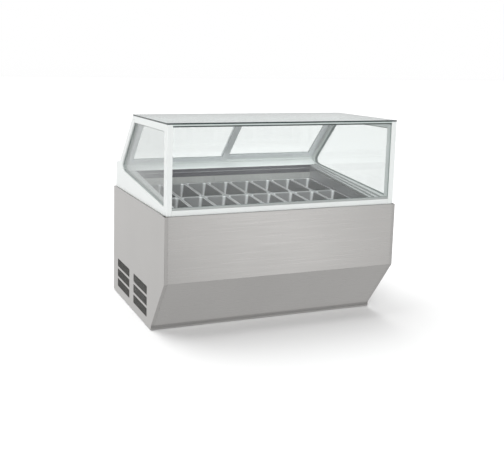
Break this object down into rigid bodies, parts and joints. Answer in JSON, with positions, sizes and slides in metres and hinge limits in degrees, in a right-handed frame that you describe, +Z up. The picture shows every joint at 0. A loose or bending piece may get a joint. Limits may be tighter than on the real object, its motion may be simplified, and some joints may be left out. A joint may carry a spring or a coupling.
{
  "type": "ice cream dipping cabinet",
  "caption": "Glass-topped refrigerated cabinet that shows and serves scooped ice cream from lift-out pans, with sliding rear doors over a steel casing.",
  "frame": {"origin": "on the floor under the middle of the cabinet", "axes": "+X to the customer's right along the length, +Y from the customer side to the server's side, +Z up"},
  "size_m": [1.58, 1.15, 1.315],
  "materials": {
    "brushed_steel": "brushed",
    "pan_steel": "satin",
    "white_coat": "satin",
    "anodised": "satin",
    "clear_glass": "gloss",
    "roof_glass": "gloss",
    "seal_rubber": "matte",
    "dark_mesh": "matte",
    "foam": "matte",
    "galvanised": "satin",
    "black_plastic": "matte",
    "black_enamel": "gloss",
    "finned_aluminium": "satin",
    "copper": "polished"
  },
  "bodies": {
    "cabinet": {"side_panel_left": "brushed_steel", "side_panel_right": "brushed_steel", "front_panel": "brushed_steel", "rear_panel": "brushed_steel", "tub_liner": "pan_steel", "coaming_rear": "pan_steel", "front_ledge": "pan_steel", "pan_rack": "pan_steel", "side_frame_left": "white_coat", "side_frame_right": "white_coat", "front_sill": "white_coat", "rear_sill": "white_coat", "coaming_left": "anodised", "coaming_right": "anodised", "top_front_rail": "anodised", "rear_top_rail": "anodised", "side_glass_left": "clear_glass", "side_glass_right": "clear_glass", "front_glass": "clear_glass", "top_glass": "roof_glass", "front_glass_seal": "seal_rubber", "vent_mesh": "dark_mesh", "insulation_trough": "foam", "insulation_left": "foam", "insulation_right": "foam", "base_frame": "galvanised", "foot_front_left": "black_plastic", "foot_front_right": "black_plastic", "foot_rear_left": "black_plastic", "foot_rear_right": "black_plastic", "control_panel": "black_plastic", "power_inlet": "black_plastic", "compressor": "black_enamel", "condenser_fan_motor": "black_enamel", "condenser_coil": "finned_aluminium", "evaporator_coil": "finned_aluminium", "refrigerant_line": "copper"},
    "door_left": {"door_frame_left": "anodised", "door_glass_left": "clear_glass"},
    "door_right": {"door_frame_right": "anodised", "door_glass_right": "clear_glass"},
    "thermostat_knob": {"thermostat_knob": "black_plastic"},
    "power_switch": {"power_switch": "black_plastic"},
    "condenser_fan": {"condenser_fan": "black_plastic"},
    "pan_front_1": {"pan_front_1": "pan_steel"},
    "pan_front_2": {"pan_front_2": "pan_steel"},
    "pan_front_3": {"pan_front_3": "pan_steel"},
    "pan_front_4": {"pan_front_4": "pan_steel"},
    "pan_front_5": {"pan_front_5": "pan_steel"},
    "pan_front_6": {"pan_front_6": "pan_steel"},
    "pan_front_7": {"pan_front_7": "pan_steel"},
    "pan_front_8": {"pan_front_8": "pan_steel"},
    "pan_rear_1": {"pan_rear_1": "pan_steel"},
    "pan_rear_2": {"pan_rear_2": "pan_steel"},
    "pan_rear_3": {"pan_rear_3": "pan_steel"},
    "pan_rear_4": {"pan_rear_4": "pan_steel"},
    "pan_rear_5": {"pan_rear_5": "pan_steel"},
    "pan_rear_6": {"pan_rear_6": "pan_steel"},
    "pan_rear_7": {"pan_rear_7": "pan_steel"},
    "pan_rear_8": {"pan_rear_8": "pan_steel"}
  },
  "joints": [
    {"name": "door_left_slide", "type": "slide", "parent": "cabinet", "child": "door_left", "axis": [1, 0, 0], "range_m": [0, 0.7]},
    {"name": "door_right_slide", "type": "slide", "parent": "cabinet", "child": "door_right", "axis": [-1, 0, 0], "range_m": [0, 0.7]},
    {"name": "thermostat_turn", "type": "hinge", "parent": "cabinet", "child": "thermostat_knob", "pos_m": [0.405, 0.5636, 0.8585], "axis": [0, 1, 0], "range_deg": [0, 270]},
    {"name": "power_switch_rock", "type": "hinge", "parent": "cabinet", "child": "power_switch", "pos_m": [0.535, 0.5623, 0.8585], "axis": [1, 0, 0], "range_deg": [-6, 6]},
    {"name": "condenser_fan_spin", "type": "hinge", "parent": "cabinet", "child": "condenser_fan", "pos_m": [-0.68, 0.105, 0.176], "axis": [1, 0, 0], "continuous": true},
    {"name": "pan_front_1_lift", "type": "slide", "parent": "cabinet", "child": "pan_front_1", "axis": [0, -0.0854, 0.9963], "range_m": [0, 0.18]},
    {"name": "pan_front_2_lift", "type": "slide", "parent": "cabinet", "child": "pan_front_2", "axis": [0, -0.0854, 0.9963], "range_m": [0, 0.18]},
    {"name": "pan_front_3_lift", "type": "slide", "parent": "cabinet", "child": "pan_front_3", "axis": [0, -0.0854, 0.9963], "range_m": [0, 0.18]},
    {"name": "pan_front_4_lift", "type": "slide", "parent": "cabinet", "child": "pan_front_4", "axis": [0, -0.0854, 0.9963], "range_m": [0, 0.18]},
    {"name": "pan_front_5_lift", "type": "slide", "parent": "cabinet", "child": "pan_front_5", "axis": [0, -0.0854, 0.9963], "range_m": [0, 0.18]},
    {"name": "pan_front_6_lift", "type": "slide", "parent": "cabinet", "child": "pan_front_6", "axis": [0, -0.0854, 0.9963], "range_m": [0, 0.18]},
    {"name": "pan_front_7_lift", "type": "slide", "parent": "cabinet", "child": "pan_front_7", "axis": [0, -0.0854, 0.9963], "range_m": [0, 0.18]},
    {"name": "pan_front_8_lift", "type": "slide", "parent": "cabinet", "child": "pan_front_8", "axis": [0, -0.0854, 0.9963], "range_m": [0, 0.18]},
    {"name": "pan_rear_1_lift", "type": "slide", "parent": "cabinet", "child": "pan_rear_1", "axis": [0, -0.0854, 0.9963], "range_m": [0, 0.18]},
    {"name": "pan_rear_2_lift", "type": "slide", "parent": "cabinet", "child": "pan_rear_2", "axis": [0, -0.0854, 0.9963], "range_m": [0, 0.18]},
    {"name": "pan_rear_3_lift", "type": "slide", "parent": "cabinet", "child": "pan_rear_3", "axis": [0, -0.0854, 0.9963], "range_m": [0, 0.18]},
    {"name": "pan_rear_4_lift", "type": "slide", "parent": "cabinet", "child": "pan_rear_4", "axis": [0, -0.0854, 0.9963], "range_m": [0, 0.18]},
    {"name": "pan_rear_5_lift", "type": "slide", "parent": "cabinet", "child": "pan_rear_5", "axis": [0, -0.0854, 0.9963], "range_m": [0, 0.18]},
    {"name": "pan_rear_6_lift", "type": "slide", "parent": "cabinet", "child": "pan_rear_6", "axis": [0, -0.0854, 0.9963], "range_m": [0, 0.18]},
    {"name": "pan_rear_7_lift", "type": "slide", "parent": "cabinet", "child": "pan_rear_7", "axis": [0, -0.0854, 0.9963], "range_m": [0, 0.18]},
    {"name": "pan_rear_8_lift", "type": "slide", "parent": "cabinet", "child": "pan_rear_8", "axis": [0, -0.0854, 0.9963], "range_m": [0, 0.18]}
  ]
}
